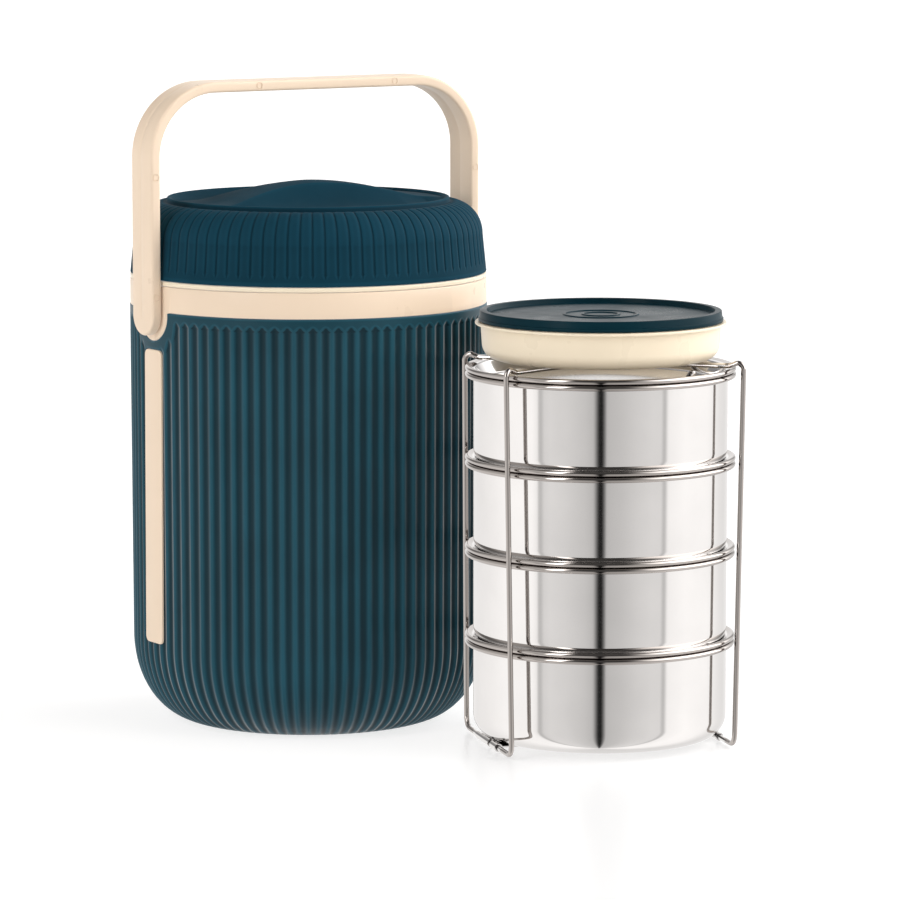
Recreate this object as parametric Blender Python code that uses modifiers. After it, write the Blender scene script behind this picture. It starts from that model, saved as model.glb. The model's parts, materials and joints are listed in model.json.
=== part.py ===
"""Insulated tiffin carrier: a foam-filled casing with a carry handle and a lid, and beside it the
wire cage that it holds, with four nesting steel pans, their lids and a plastic box on top.

Metres, +Z up. The origin is the middle of the casing's flat base, and the handle's pivots lie
along X. Each moving piece has its origin, or its parent empty, on its joint's axis.
"""
import math

import bmesh
import bpy
from mathutils import Matrix

# Gap kept between pieces that touch, and the fineness of turned pieces.
GAP = 0.0003
OUTER_STEPS = 48
INNER_STEPS = 28

# Casing.
CASING_RADIUS = 0.0896
CASING_WALL = 0.0026
CASING_TOP = 0.2101
CASING_DRAFT = 0.0006
BASE_FLAT_RADIUS = 0.0575
BASE_CORNER_HEIGHT = 0.0430
BASE_COVER_RADIUS = 0.0480
BASE_COVER_THICKNESS = 0.0032
LINER_RADIUS = 0.0712
LINER_WALL = 0.0008
LINER_FLOOR = 0.0115
LINER_LIP_RADIUS = 0.0757
FOAM_TOP = 0.1945
COLLAR_RADIUS = 0.0894
COLLAR_TOP = 0.2230
COLLAR_SEAT = 0.2192

# Lid.
FLANGE_BOTTOM = COLLAR_TOP + GAP
FLANGE_TOP = 0.2255
LID_BOTTOM = FLANGE_TOP + GAP
LID_RADIUS = 0.0893
LID_WALL = 0.0022
SHOULDER_RADIUS = 0.0163
SHOULDER_CENTRE = (0.0711, 0.2450)
PLATEAU_RADIUS = 0.0706
PLATEAU_TOP = 0.2632
PLATEAU_FLOOR = 0.2585
GRIP_TOP = 0.2713
GRIP_HALF_LENGTH = 0.0670
GRIP_ARCH_LENGTH = 0.0520
GRIP_HALF_WIDTH = 0.0085

# Handle: a flat strap bent over the lid, hung on two stubs in the collar's lugs.
PIVOT_Z = 0.2087
HANDLE_WIDTH = 0.0206
HANDLE_THICKNESS = 0.0055
HANDLE_OUTSIDE = 0.0955
HANDLE_TOP = 0.3227
HANDLE_CORNER_RADIUS = 0.0370
STUB_RADIUS = 0.0040
STUB_END = 0.0826
LUG_RADIUS = 0.0130
LUG_BACK = 0.0820
LUG_FACE = 0.0897

# Side strips.
STRIP_WIDTH = 0.0165
STRIP_BOTTOM = 0.0445
STRIP_TOP = 0.1910
STRIP_THICKNESS = 0.0011
STRIP_CORNER = 0.0030
STRIP_INSET = 0.0002

# Stack of pans: identical pans, each nesting in the lid below it.
STACK_DISTANCE = 0.1616
STACK_AZIMUTH = math.radians(-58.8)
CAGE_AZIMUTH = math.radians(-17.3)
PAN_COUNT = 4
PAN_PITCH = 0.0440
PAN_BASE = 0.0032
PAN_RADIUS = 0.0622
PAN_WALL = 0.0006
PAN_CORNER = 0.0110
BEAD_RADIUS = 0.0663
BEAD_HEIGHT = 0.0027
PAN_HEIGHT = 0.0483
LID_LEVEL = 0.0513
LID_RECESS = 0.0076

# Wire cage.
WIRE_RADIUS = 0.0012
CHORD_DISTANCE = 0.0565
CHORD_Z = 0.0021
CHORD_HALF = 0.0415
UPRIGHT_TOP_HALF = 0.0378
LOOP_LEAN = {"left": 0.0020, "right": 0.0045}
LOOP_TIP = 0.0090
LOOP_TOP = 0.1881
HOOK_PEAK = 0.1893
HOOK_START = 0.1840
STRAP_HALF_WIDTH = 0.0180
STRAP_TOP = 0.0029
STRAP_THICKNESS = 0.00065
KNUCKLE_RADIUS = 0.0020
KNUCKLE_BORE = 0.00145
KNUCKLE_GAP = (0.0045, 0.0080)

# Box on top of the stack.
BOX_BASE = 0.1896
BOX_RIM = 0.2110
BOX_FLANGE_RADIUS = 0.0616
BOX_FLANGE = (0.2066, 0.2080)
BOX_LID_RADIUS = 0.0600
BOX_LID_TOP = 0.2135


def clear_scene():
    """Remove every object that the file opened with."""
    for old in list(bpy.data.objects):
        bpy.data.objects.remove(old, do_unlink=True)


def new_collection(name):
    """Add a collection to the scene."""
    collection = bpy.data.collections.new(name)
    bpy.context.scene.collection.children.link(collection)
    return collection


def plastic(name, colour, roughness):
    """A moulded plastic or foam."""
    material = bpy.data.materials.new(name)
    material.use_nodes = True
    shader = material.node_tree.nodes["Principled BSDF"]
    shader.inputs["Base Color"].default_value = (*colour, 1.0)
    shader.inputs["Roughness"].default_value = roughness
    shader.inputs["Metallic"].default_value = 0.0
    return material


def steel(name, roughness):
    """Polished stainless steel."""
    material = plastic(name, (0.72, 0.71, 0.70), roughness)
    material.node_tree.nodes["Principled BSDF"].inputs["Metallic"].default_value = 1.0
    return material


def as_cutter(piece):
    """Move a piece to the cutters' collection and hide it from renders."""
    for collection in list(piece.users_collection):
        collection.objects.unlink(piece)
    cutters.objects.link(piece)
    piece.hide_render = True
    piece.display_type = "WIRE"
    return piece


def combine(piece, other, operation):
    """Add a Boolean modifier to a piece."""
    modifier = piece.modifiers.new(operation.lower() + "_" + other.name, "BOOLEAN")
    modifier.operation = operation
    modifier.solver = "EXACT"
    modifier.object = other


def arc(centre, radii, start, end, count):
    """Points on a quarter or other part of an ellipse, from start to end in degrees."""
    angles = [math.radians(start + (end - start) * i / count) for i in range(count + 1)]
    return [(centre[0] + radii[0] * math.cos(a), centre[1] + radii[1] * math.sin(a)) for a in angles]


def turned(name, profile, material, steps, ring=False):
    """Turn a profile of (radius, z) points about Z; a ring's profile is a closed loop."""
    mesh = bpy.data.meshes.new(name)
    edges = [(i, i + 1) for i in range(len(profile) - 1)]
    if ring:
        edges.append((len(profile) - 1, 0))
    mesh.from_pydata([(radius, 0.0, z) for radius, z in profile], edges, [])
    piece = bpy.data.objects.new(name, mesh)
    model.objects.link(piece)
    mesh.materials.append(material)
    screw = piece.modifiers.new("turn", "SCREW")
    screw.axis = "Z"
    screw.steps = steps
    screw.render_steps = steps
    screw.use_merge_vertices = True
    screw.merge_threshold = 0.00001
    screw.use_smooth_shade = True
    return piece


def to_mesh(curve_object, name, material):
    """Turn a curve object into a mesh object with its caps welded."""
    evaluated = curve_object.evaluated_get(bpy.context.evaluated_depsgraph_get())
    mesh = bpy.data.meshes.new_from_object(evaluated)
    shape = bmesh.new()
    shape.from_mesh(mesh)
    bmesh.ops.remove_doubles(shape, verts=shape.verts, dist=0.00001)
    shape.to_mesh(mesh)
    shape.free()
    matrix = curve_object.matrix_world.copy()
    bpy.data.objects.remove(curve_object, do_unlink=True)
    piece = bpy.data.objects.new(name, mesh)
    piece.matrix_world = matrix
    model.objects.link(piece)
    mesh.materials.clear()
    mesh.materials.append(material)
    return piece


def extruded(name, outline, depth, turn, material):
    """A flat outline given a thickness, centred on its own plane and turned into place."""
    curve = bpy.data.curves.new(name + "_outline", "CURVE")
    curve.dimensions = "2D"
    curve.fill_mode = "BOTH"
    curve.extrude = depth / 2
    spline = curve.splines.new("POLY")
    spline.points.add(len(outline) - 1)
    for point, (x, y) in zip(spline.points, outline):
        point.co = (x, y, 0.0, 1.0)
    spline.use_cyclic_u = True
    sheet = bpy.data.objects.new(name + "_outline", curve)
    sheet.matrix_world = turn
    model.objects.link(sheet)
    bpy.context.view_layer.update()
    return to_mesh(sheet, name, material)


def rod(name, radius, start, end, centre_z, axis, material, sides=16, offset=0.0):
    """A cylinder along X or Y, from start to end on that axis."""
    turn = Matrix.Rotation(math.pi / 2, 4, "Y" if axis == "X" else "X")
    middle = (start + end) / 2
    place = (middle, offset, centre_z) if axis == "X" else (offset, middle, centre_z)
    shape = bmesh.new()
    bmesh.ops.create_cone(shape, cap_ends=True, segments=sides, radius1=radius, radius2=radius,
                          depth=abs(end - start), matrix=Matrix.Translation(place) @ turn)
    mesh = bpy.data.meshes.new(name)
    shape.to_mesh(mesh)
    shape.free()
    piece = bpy.data.objects.new(name, mesh)
    model.objects.link(piece)
    mesh.materials.append(material)
    return piece


def block(name, low, high, material):
    """A box between two corners."""
    size = [b - a for a, b in zip(low, high)]
    centre = [(a + b) / 2 for a, b in zip(low, high)]
    shape = bmesh.new()
    bmesh.ops.create_cube(shape, size=1.0, matrix=Matrix.Translation(centre) @ Matrix.Diagonal((*size, 1.0)))
    mesh = bpy.data.meshes.new(name)
    shape.to_mesh(mesh)
    shape.free()
    piece = bpy.data.objects.new(name, mesh)
    model.objects.link(piece)
    mesh.materials.append(material)
    return piece


# Outline planes: XZ faces the front, YZ faces the side.
STAND_XZ = Matrix.Rotation(math.pi / 2, 4, "X")
STAND_YZ = Matrix.Rotation(math.pi / 2, 4, "Z") @ Matrix.Rotation(math.pi / 2, 4, "X")


def casing_outline(inset):
    """The casing's outer side, top to bottom, moved inwards by inset."""
    top = CASING_RADIUS - inset
    waist = top - CASING_DRAFT
    centre = (BASE_FLAT_RADIUS, BASE_CORNER_HEIGHT)
    radii = (waist - BASE_FLAT_RADIUS, BASE_CORNER_HEIGHT - inset)
    return [(top, CASING_TOP)] + arc(centre, radii, 0, -90, 6)


def strip_prism(name, side, growth, material):
    """A round-cornered bar through one side of the casing, which gives a strip its outline."""
    half = STRIP_WIDTH / 2 + growth
    low = STRIP_BOTTOM - growth
    high = STRIP_TOP + growth
    corner = STRIP_CORNER + growth
    radii = (corner, corner)
    outline = arc((half - corner, high - corner), radii, 0, 90, 3)
    outline += arc((-half + corner, high - corner), radii, 90, 180, 3)
    outline += arc((-half + corner, low + corner), radii, 180, 270, 3)
    outline += arc((half - corner, low + corner), radii, 270, 360, 3)
    place = Matrix.Translation((side * CASING_RADIUS, 0, 0)) @ STAND_YZ
    return extruded(name, outline, 0.03, place, material)


def strip_band(name, inner, outer, material):
    """A thin band round the casing, between two insets from its face."""
    low = STRIP_BOTTOM - 0.004
    high = STRIP_TOP + 0.004
    slope = CASING_DRAFT / (CASING_TOP - BASE_CORNER_HEIGHT)
    top = CASING_RADIUS - slope * (CASING_TOP - high)
    bottom = CASING_RADIUS - slope * (CASING_TOP - low)
    profile = [(top - outer, high), (bottom - outer, low), (bottom - inner, low), (top - inner, high)]
    return turned(name, profile, material, OUTER_STEPS, ring=True)


def make_casing():
    """Shell, base cover, foam, liner, collar and the two side strips."""
    shell_profile = casing_outline(0.0)
    shell_profile += [(BASE_COVER_RADIUS + GAP, 0.0), (BASE_COVER_RADIUS + GAP, CASING_WALL)]
    shell_profile += list(reversed(casing_outline(CASING_WALL)))
    shell = turned("outer_shell", shell_profile, teal, OUTER_STEPS, ring=True)
    notch = rod("lug_notch", LUG_RADIUS + GAP, -0.1, 0.1, PIVOT_Z, "X", teal, sides=32)
    combine(shell, as_cutter(notch), "DIFFERENCE")

    for label, side in (("left", -1), ("right", 1)):
        pocket = strip_band("pocket_" + label, STRIP_INSET + STRIP_THICKNESS + GAP, -0.004, teal)
        combine(pocket, as_cutter(strip_prism("pocket_bar_" + label, side, GAP, teal)), "INTERSECT")
        combine(shell, as_cutter(pocket), "DIFFERENCE")
        strip = strip_band("side_strip_" + label, STRIP_INSET + STRIP_THICKNESS, STRIP_INSET, cream)
        combine(strip, as_cutter(strip_prism("strip_bar_" + label, side, 0.0, cream)), "INTERSECT")

    cover = [(0.0, BASE_COVER_THICKNESS), (BASE_COVER_RADIUS, BASE_COVER_THICKNESS),
             (BASE_COVER_RADIUS, 0.0), (0.0, 0.0)]
    turned("base_cover", cover, teal, INNER_STEPS)

    hollow = LINER_RADIUS + LINER_WALL + 0.0005
    floor = LINER_FLOOR - 0.0005
    foam_side = casing_outline(CASING_WALL + GAP)[1:]
    foam = [(0.0, floor), (hollow - 0.006, floor), (hollow, floor + 0.006), (hollow, FOAM_TOP)]
    foam += [(CASING_RADIUS - CASING_WALL - GAP, FOAM_TOP)] + foam_side
    foam += [(BASE_COVER_RADIUS + GAP, foam_side[-1][1]),
             (BASE_COVER_RADIUS + GAP, BASE_COVER_THICKNESS + GAP), (0.0, BASE_COVER_THICKNESS + GAP)]
    turned("casing_foam", foam, foam_yellow, INNER_STEPS)

    lip = COLLAR_SEAT + GAP
    outer = LINER_RADIUS + LINER_WALL
    liner = [(0.0, LINER_FLOOR + LINER_WALL), (LINER_RADIUS - 0.006, LINER_FLOOR + LINER_WALL),
             (LINER_RADIUS, LINER_FLOOR + 0.0065), (LINER_RADIUS, lip + 0.001), (LINER_LIP_RADIUS, lip + 0.001),
             (LINER_LIP_RADIUS, lip), (outer, lip), (outer, LINER_FLOOR + 0.006),
             (outer - 0.006, LINER_FLOOR), (0.0, LINER_FLOOR)]
    turned("inner_liner", liner, brushed, INNER_STEPS)

    inside = COLLAR_RADIUS - 0.0024
    bore = LINER_RADIUS + LINER_WALL + 0.0006
    collar_profile = [(COLLAR_RADIUS, COLLAR_TOP), (COLLAR_RADIUS, CASING_TOP + GAP),
                      (inside, CASING_TOP + GAP), (inside, COLLAR_TOP - 0.0025),
                      (bore + 0.0058, COLLAR_TOP - 0.0025), (bore + 0.0058, COLLAR_SEAT - 0.0024),
                      (bore + 0.0024, COLLAR_SEAT - 0.0024), (bore + 0.0024, 0.2000), (bore, 0.2000),
                      (bore, COLLAR_SEAT), (LINER_LIP_RADIUS + GAP, COLLAR_SEAT),
                      (LINER_LIP_RADIUS + GAP, COLLAR_TOP)]
    collar = turned("collar", collar_profile, cream, OUTER_STEPS, ring=True)
    for label, side in (("left", -1), ("right", 1)):
        lug = rod("lug_" + label, LUG_RADIUS, side * LUG_BACK, side * LUG_FACE, PIVOT_Z, "X", cream, 32)
        combine(collar, as_cutter(lug), "UNION")
        hole = rod("lug_hole_" + label, STUB_RADIUS + GAP, side * (LUG_BACK - 0.001),
                   side * (LUG_FACE + 0.001), PIVOT_Z, "X", cream)
        combine(collar, as_cutter(hole), "DIFFERENCE")


def grip_outline(inset):
    """The arched rib across the lid, seen from the front, moved inwards by inset."""
    base = PLATEAU_FLOOR - 0.001 - 4 * inset
    half = GRIP_HALF_LENGTH - 2 * inset
    rise = GRIP_TOP - PLATEAU_TOP
    stations = [-1 + i / 6 for i in range(13)]
    crest = [(x * GRIP_ARCH_LENGTH, PLATEAU_TOP - inset + rise * (1 - x * x)) for x in reversed(stations)]
    return [(half, base), (half, PLATEAU_TOP - inset)] + crest + [(-half, PLATEAU_TOP - inset), (-half, base)]


def make_lid():
    """Ribbed cover with its grip, foam, inner plate with its skirt, and the seal."""
    centre_r, centre_z = SHOULDER_CENTRE
    inner_radius = SHOULDER_RADIUS - LID_WALL
    profile = [(0.0, PLATEAU_FLOOR), (0.0655, PLATEAU_FLOOR), (0.0680, PLATEAU_TOP - 0.0017),
               (0.0690, PLATEAU_TOP), (PLATEAU_RADIUS, PLATEAU_TOP)]
    profile += arc(SHOULDER_CENTRE, (SHOULDER_RADIUS, SHOULDER_RADIUS), 90, 0, 5)
    profile += [(LID_RADIUS, LID_BOTTOM), (LID_RADIUS - LID_WALL, LID_BOTTOM)]
    profile += arc(SHOULDER_CENTRE, (inner_radius, inner_radius), 0, 90, 3)
    profile += [(0.0665, PLATEAU_FLOOR - LID_WALL), (0.0, PLATEAU_FLOOR - LID_WALL)]
    cover = turned("lid_cover", profile, teal_dark, OUTER_STEPS)
    grip = extruded("grip_rib", grip_outline(0.0), 2 * GRIP_HALF_WIDTH, STAND_XZ, teal_dark)
    combine(cover, as_cutter(grip), "UNION")
    hollow = extruded("grip_hollow", grip_outline(0.0023), 2 * GRIP_HALF_WIDTH - 0.0046, STAND_XZ, teal_dark)
    combine(cover, as_cutter(hollow), "DIFFERENCE")

    foam_top = PLATEAU_FLOOR - LID_WALL - 0.0005
    foam_radius = inner_radius - 0.0008
    foam = [(0.0, foam_top), (0.0650, foam_top)]
    foam += arc((centre_r - 0.0005, centre_z), (foam_radius, foam_radius), 75, 0, 3)
    foam += [(LID_RADIUS - LID_WALL - 0.0010, LID_BOTTOM + GAP), (0.0680, LID_BOTTOM + GAP),
             (0.0655, 0.2303), (0.0, 0.2303)]
    turned("lid_foam", foam, foam_yellow, INNER_STEPS)

    plate = [(0.0, 0.2297), (0.0645, 0.2297), (0.0668, FLANGE_TOP), (LID_RADIUS, FLANGE_TOP),
             (LID_RADIUS, FLANGE_BOTTOM), (0.0700, FLANGE_BOTTOM), (0.0700, 0.2120), (0.0676, 0.2120),
             (0.0676, 0.2222), (0.0640, 0.2275), (0.0, 0.2275)]
    turned("lid_inner_plate", plate, cream_light, INNER_STEPS)

    seal = [(0.0755, 0.2229), (0.0755, 0.2209), (0.0722, 0.2209), (0.0722, 0.2229)]
    turned("lid_seal", seal, silicone, INNER_STEPS, ring=True)


def make_handle():
    """A bent strap with round ends and a stub inside each end."""
    inside = HANDLE_OUTSIDE - HANDLE_THICKNESS
    corner = HANDLE_CORNER_RADIUS
    inner_corner = corner - HANDLE_THICKNESS
    foot = PIVOT_Z - HANDLE_WIDTH / 2
    corner_x = HANDLE_OUTSIDE - corner
    corner_z = HANDLE_TOP - corner
    outline = [(HANDLE_OUTSIDE, foot)]
    outline += arc((corner_x, corner_z), (corner, corner), 0, 90, 8)
    outline += arc((-corner_x, corner_z), (corner, corner), 90, 180, 8)
    outline += [(-HANDLE_OUTSIDE, foot), (-inside, foot)]
    outline += arc((-corner_x, corner_z), (inner_corner, inner_corner), 180, 90, 8)
    outline += arc((corner_x, corner_z), (inner_corner, inner_corner), 90, 0, 8)
    outline += [(inside, foot)]
    handle = extruded("handle", outline, HANDLE_WIDTH + 0.002, STAND_XZ, cream)

    half = HANDLE_WIDTH / 2
    side_view = arc((0.0, PIVOT_Z), (half, half), 180, 360, 12) + [(half, HANDLE_TOP + 0.01), (-half, HANDLE_TOP + 0.01)]
    envelope = extruded("handle_side_view", side_view, 0.25, STAND_YZ, cream)
    combine(handle, as_cutter(envelope), "INTERSECT")
    for label, side in (("left", -1), ("right", 1)):
        stub = rod("stub_" + label, STUB_RADIUS, side * STUB_END, side * (inside + 0.002), PIVOT_Z, "X", cream)
        combine(handle, as_cutter(stub), "UNION")

    pivot = bpy.data.objects.new("handle_pivot", None)
    model.objects.link(pivot)
    pivot.location = (0.0, 0.0, PIVOT_Z)
    handle.parent = pivot
    handle.matrix_parent_inverse = Matrix.Translation((0.0, 0.0, -PIVOT_Z))


def make_pans():
    """Identical pans with rolled rims, each under a lid whose recess takes the next pan."""
    inner_corner = PAN_CORNER - PAN_WALL
    corner_centre = (PAN_RADIUS - PAN_CORNER, PAN_CORNER)
    bead_low = PAN_HEIGHT - BEAD_HEIGHT
    pan = [(0.0, PAN_WALL)]
    pan += arc(corner_centre, (inner_corner, inner_corner), -90, 0, 3)
    pan += [(PAN_RADIUS - PAN_WALL, PAN_HEIGHT - 0.0013), (0.0638, PAN_HEIGHT), (0.0656, PAN_HEIGHT),
            (BEAD_RADIUS, PAN_HEIGHT - 0.0007), (BEAD_RADIUS, bead_low + 0.0007), (0.0656, bead_low),
            (0.0640, bead_low), (PAN_RADIUS, bead_low + 0.0006)]
    pan += arc(corner_centre, (PAN_CORNER, PAN_CORNER), 0, -90, 3)
    pan += [(0.0, 0.0)]

    panel = LID_LEVEL - LID_RECESS
    low = LID_LEVEL - BEAD_HEIGHT
    lid = [(0.0, panel), (0.0575, panel), (0.0607, low - 0.0003), (0.0638, LID_LEVEL), (0.0656, LID_LEVEL),
           (BEAD_RADIUS, LID_LEVEL - 0.0007), (BEAD_RADIUS, low + 0.0007), (0.0656, low), (0.0640, low),
           (0.0612, low - 0.0009), (0.0584, panel - PAN_WALL), (0.0, panel - PAN_WALL)]

    for number in range(PAN_COUNT):
        height = PAN_BASE + number * PAN_PITCH
        for name, profile in (("pan_", pan), ("pan_lid_", lid)):
            piece = turned(name + str(number + 1), profile, polished, INNER_STEPS)
            piece.parent = stack
            piece.location = (0.0, 0.0, height)


def loop_path(lean):
    """One cage loop, opening towards +X: chord, uprights, hooks over the rim and inward arms."""
    side = [(CHORD_DISTANCE, 0.0, CHORD_Z), (CHORD_DISTANCE, CHORD_HALF - 0.0035, CHORD_Z),
            (CHORD_DISTANCE, CHORD_HALF - 0.0010, CHORD_Z + 0.0010),
            (CHORD_DISTANCE + 0.0001, CHORD_HALF, CHORD_Z + 0.0035)]
    top_x = CHORD_DISTANCE + lean
    direction = math.atan2(UPRIGHT_TOP_HALF, top_x)
    reach = math.hypot(UPRIGHT_TOP_HALF, top_x)
    hook = [(reach, HOOK_START), (reach - 0.0004, HOOK_START + 0.0026), (reach - 0.0014, HOOK_PEAK - 0.0008),
            (reach - 0.0030, HOOK_PEAK), (reach - 0.0050, HOOK_PEAK - 0.0005), (reach - 0.0072, LOOP_TOP),
            (0.0350, LOOP_TOP), (LOOP_TIP, LOOP_TOP)]
    side += [(r * math.cos(direction), r * math.sin(direction), z) for r, z in hook]
    tip_x = (LOOP_TIP - 0.0015) * math.cos(direction)
    other = [(x, -y, z) for x, y, z in reversed(side[1:])]
    return side + [(tip_x, 0.0020, LOOP_TOP), (tip_x, -0.0020, LOOP_TOP)] + other


def make_cage():
    """The base strap with its four knuckles, and the two wire loops that turn in them."""
    end = CHORD_DISTANCE
    strap = block("cage_base_strap", (-end, -STRAP_HALF_WIDTH, STRAP_TOP - STRAP_THICKNESS),
                  (end, STRAP_HALF_WIDTH, STRAP_TOP), polished)
    for label, side in (("left", -1), ("right", 1)):
        knuckle = rod("knuckle_" + label, KNUCKLE_RADIUS, -STRAP_HALF_WIDTH, STRAP_HALF_WIDTH, CHORD_Z, "Y",
                      polished, offset=side * end)
        bore = rod("knuckle_bore_" + label, KNUCKLE_BORE, -0.03, 0.03, CHORD_Z, "Y", polished, offset=side * end)
        near, far = sorted((side * KNUCKLE_GAP[0], side * KNUCKLE_GAP[1]))
        slot = block("knuckle_gap_" + label, (side * end - 0.003, near, -0.001), (side * end + 0.003, far, 0.006),
                     polished)
        for cutter, operation in ((knuckle, "UNION"), (bore, "DIFFERENCE"), (slot, "DIFFERENCE")):
            cutter.parent = stack
            combine(strap, as_cutter(cutter), operation)
    strap.parent = stack

    for label, turn in (("left", math.pi), ("right", 0.0)):
        curve = bpy.data.curves.new("cage_loop_" + label, "CURVE")
        curve.dimensions = "3D"
        curve.bevel_depth = WIRE_RADIUS
        curve.bevel_resolution = 2
        curve.use_fill_caps = True
        path = loop_path(LOOP_LEAN[label])
        spline = curve.splines.new("POLY")
        spline.points.add(len(path) - 1)
        for point, (x, y, z) in zip(spline.points, path):
            point.co = (x - CHORD_DISTANCE, y, z - CHORD_Z, 1.0)
        spline.use_cyclic_u = True
        curve.materials.append(polished)
        loop = bpy.data.objects.new("cage_loop_" + label, curve)
        model.objects.link(loop)
        loop.parent = stack
        loop.location = (CHORD_DISTANCE * math.cos(turn), 0.0, CHORD_Z)
        loop.rotation_euler = (0.0, 0.0, turn)


def make_box():
    """The plastic box that stands on the cage's arms, and its press-on lid."""
    box = [(0.0, BOX_BASE + 0.0012), (0.0490, BOX_BASE + 0.0012), (0.0540, BOX_BASE + 0.0035),
           (0.0565, BOX_BASE + 0.0085), (0.0572, BOX_RIM), (0.0584, BOX_RIM), (0.0584, BOX_FLANGE[1]),
           (BOX_FLANGE_RADIUS, BOX_FLANGE[1]), (BOX_FLANGE_RADIUS, BOX_FLANGE[0]), (0.0588, BOX_FLANGE[0]),
           (0.0578, BOX_BASE + 0.0080), (0.0552, BOX_BASE + 0.0024), (0.0500, BOX_BASE), (0.0, BOX_BASE)]
    lid = [(0.0, BOX_LID_TOP - 0.0015), (0.0545, BOX_LID_TOP - 0.0015), (0.0555, BOX_LID_TOP),
           (0.0583, BOX_LID_TOP), (BOX_LID_RADIUS, BOX_LID_TOP - 0.0012),
           (BOX_LID_RADIUS, BOX_FLANGE[1] + GAP), (0.0588, BOX_FLANGE[1] + GAP), (0.0588, BOX_RIM + GAP),
           (0.0560, BOX_RIM + GAP), (0.0550, BOX_LID_TOP - 0.0027), (0.0, BOX_LID_TOP - 0.0027)]
    for name, profile, material in (("top_box", box, cream_light), ("top_box_lid", lid, teal_dark)):
        turned(name, profile, material, INNER_STEPS).parent = stack


clear_scene()
model = new_collection("tiffin_carrier")
cutters = new_collection("cutters")

teal = plastic("teal_plastic", (0.026, 0.102, 0.141), 0.45)
teal_dark = plastic("dark_teal_plastic", (0.013, 0.054, 0.087), 0.40)
cream = plastic("cream_plastic", (0.91, 0.78, 0.62), 0.35)
cream_light = plastic("light_cream_plastic", (0.80, 0.69, 0.50), 0.35)
foam_yellow = plastic("insulating_foam", (0.85, 0.78, 0.55), 0.9)
silicone = plastic("silicone_seal", (0.75, 0.75, 0.73), 0.5)
brushed = steel("brushed_steel", 0.25)
polished = steel("polished_steel", 0.07)

stack = bpy.data.objects.new("stack_origin", None)
model.objects.link(stack)
stack.location = (STACK_DISTANCE * math.cos(STACK_AZIMUTH), STACK_DISTANCE * math.sin(STACK_AZIMUTH), 0.0)
stack.rotation_euler = (0.0, 0.0, CAGE_AZIMUTH)

make_casing()
make_lid()
make_handle()
make_pans()
make_cage()
make_box()
bpy.context.view_layer.update()
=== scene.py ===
"""Looks of the insulated tiffin carrier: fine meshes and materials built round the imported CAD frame.

Metres, +Z up, in the CAD's own frame: the casing stands at the origin with its handle's pivots
along X, and the stack of pans in its wire cage stands beside it.
"""
import json
import math

import bmesh
import bpy
import numpy as np
from mathutils import Matrix, Vector


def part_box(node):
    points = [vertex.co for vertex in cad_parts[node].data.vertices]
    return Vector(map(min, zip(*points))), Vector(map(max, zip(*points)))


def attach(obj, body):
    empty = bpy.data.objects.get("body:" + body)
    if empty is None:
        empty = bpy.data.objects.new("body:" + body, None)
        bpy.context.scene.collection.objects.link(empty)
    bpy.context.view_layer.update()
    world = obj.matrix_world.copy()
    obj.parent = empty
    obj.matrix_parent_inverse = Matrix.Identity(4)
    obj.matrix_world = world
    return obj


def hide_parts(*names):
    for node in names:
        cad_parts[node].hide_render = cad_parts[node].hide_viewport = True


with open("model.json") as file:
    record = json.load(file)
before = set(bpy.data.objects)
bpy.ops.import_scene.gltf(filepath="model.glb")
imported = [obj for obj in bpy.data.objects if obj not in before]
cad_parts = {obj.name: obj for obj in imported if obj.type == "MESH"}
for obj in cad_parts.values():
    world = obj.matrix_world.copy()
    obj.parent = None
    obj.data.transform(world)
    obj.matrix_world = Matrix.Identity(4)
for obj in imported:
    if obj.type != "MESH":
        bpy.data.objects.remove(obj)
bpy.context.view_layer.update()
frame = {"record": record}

MM = 0.001
ROUND_STEPS = 144
MERGE_DISTANCE = 0.002 * MM

# Ribs of the casing and the lid.
RIB_COUNT = 90
RIB_COLUMNS = 12
RIB_PHASE = -0.16
RIB_DEPTH = 1.15 * MM
LID_RIB_DEPTH = 0.6 * MM
LID_RIB_SHAPE = 4.5
RUN_OUT = 2.3 * MM
RIBBED = RIB_COUNT * RIB_COLUMNS
PLAIN = RIBBED // 3


# ---------------------------------------------------------------- sizes from the frame

def centre_of(node):
    """The middle of a CAD node's box, in plan."""
    low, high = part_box(node)
    return (low[0] + high[0]) / 2, (low[1] + high[1]) / 2


def radius_of(node):
    """Half the widest side of a round CAD node's box."""
    low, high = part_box(node)
    return max(high[0] - low[0], high[1] - low[1]) / 2


def joint_named(name):
    """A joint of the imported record."""
    return next(joint for joint in frame["record"]["behaviour"]["joints"] if joint["name"] == name)


# ---------------------------------------------------------------- mesh helpers

def smoothed(mesh, sharp):
    """Smooth shading, with edges sharp above an angle."""
    mesh.shade_smooth()
    mesh.set_sharp_from_angle(angle=math.radians(sharp))


def add_mesh(name, vertices, faces, material, sharp=42):
    """A closed mesh piece with its faces turned outwards and its edges sharp above an angle."""
    mesh = bpy.data.meshes.new(name)
    mesh.from_pydata([tuple(vertex) for vertex in vertices], [], faces)
    shape = bmesh.new()
    shape.from_mesh(mesh)
    bmesh.ops.remove_doubles(shape, verts=shape.verts, dist=MERGE_DISTANCE)
    bmesh.ops.recalc_face_normals(shape, faces=shape.faces)
    shape.to_mesh(mesh)
    shape.free()
    mesh.materials.append(material)
    smoothed(mesh, sharp)
    piece = bpy.data.objects.new(name, mesh)
    bpy.context.scene.collection.objects.link(piece)
    return piece


def bridge(first, second):
    """Faces between two rings of vertex numbers, one of which may be a whole multiple finer."""
    if len(first) < len(second):
        return bridge(second, first)
    ratio = len(first) // len(second)
    faces = []
    for i in range(len(first)):
        after = (i + 1) % len(first)
        near = second[i // ratio]
        far = second[((i + 1) // ratio) % len(second)]
        faces.append((first[i], first[after], near) if near == far else (first[i], first[after], far, near))
    return faces


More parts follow.
